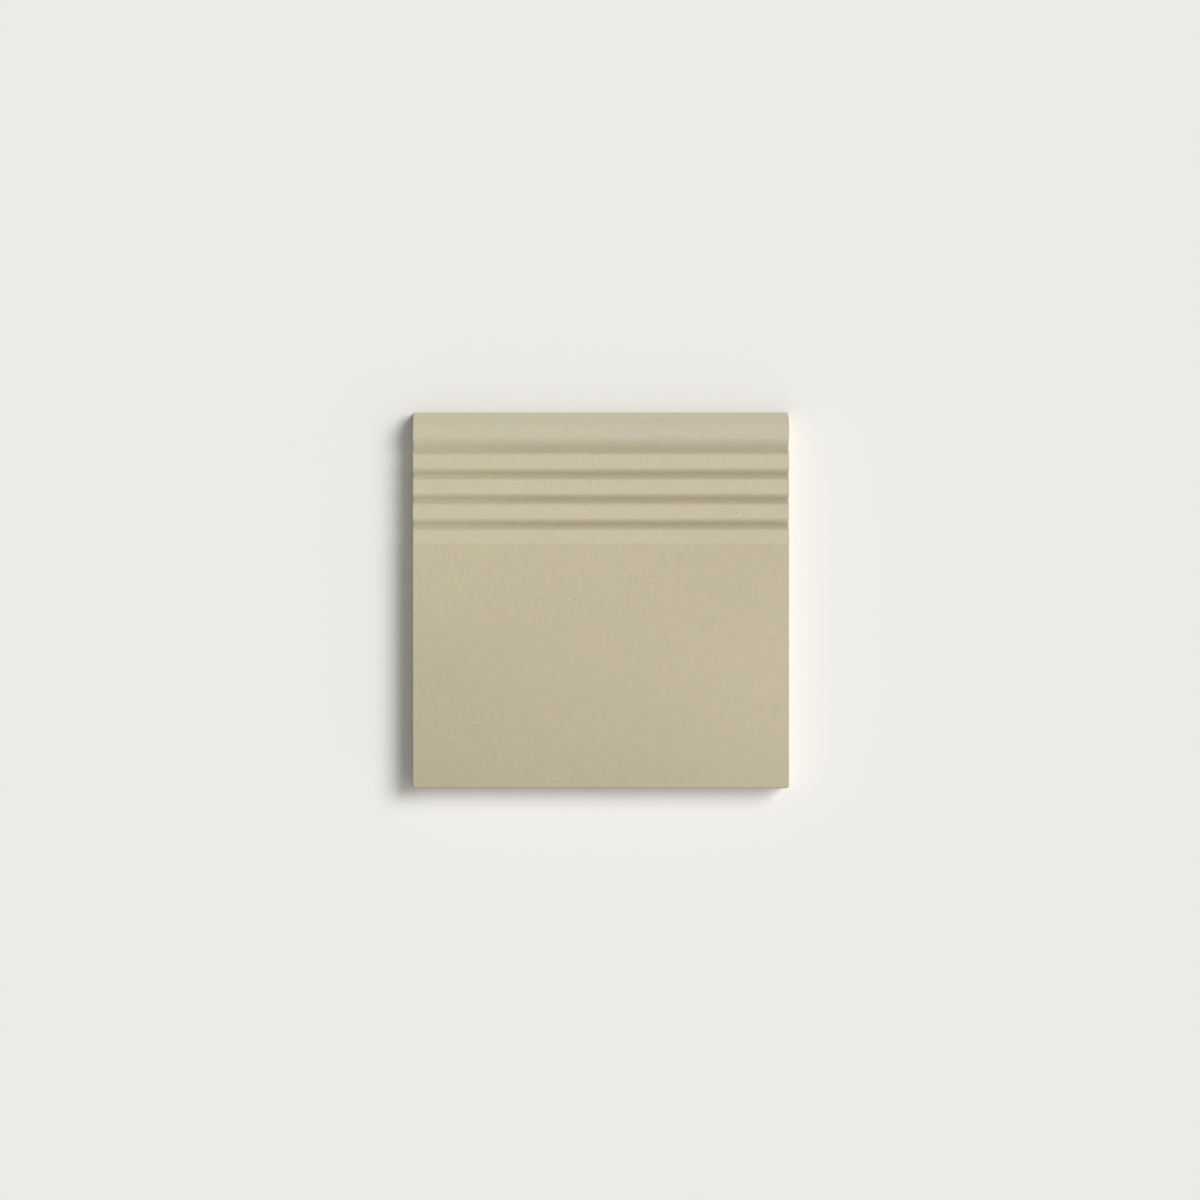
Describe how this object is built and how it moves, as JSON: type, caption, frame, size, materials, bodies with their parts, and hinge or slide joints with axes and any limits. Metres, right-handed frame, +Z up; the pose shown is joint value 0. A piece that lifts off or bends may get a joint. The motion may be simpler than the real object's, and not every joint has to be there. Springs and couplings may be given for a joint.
{
  "type": "step tile",
  "caption": "Square unglazed porcelain step tile with a round nose, parallel anti-slip grooves behind it, a plain tread and a flat keyed back.",
  "frame": {"origin": "centre of the tile's outline, on the plane of its back", "axes": "+Z up out of the tread, +X along the nose, -Y out of the front of the nose"},
  "size_m": [0.15, 0.15, 0.012],
  "materials": {
    "porcelain": "matt unglazed"
  },
  "bodies": {
    "root": {"step_tile": "porcelain"}
  },
  "joints": []
}
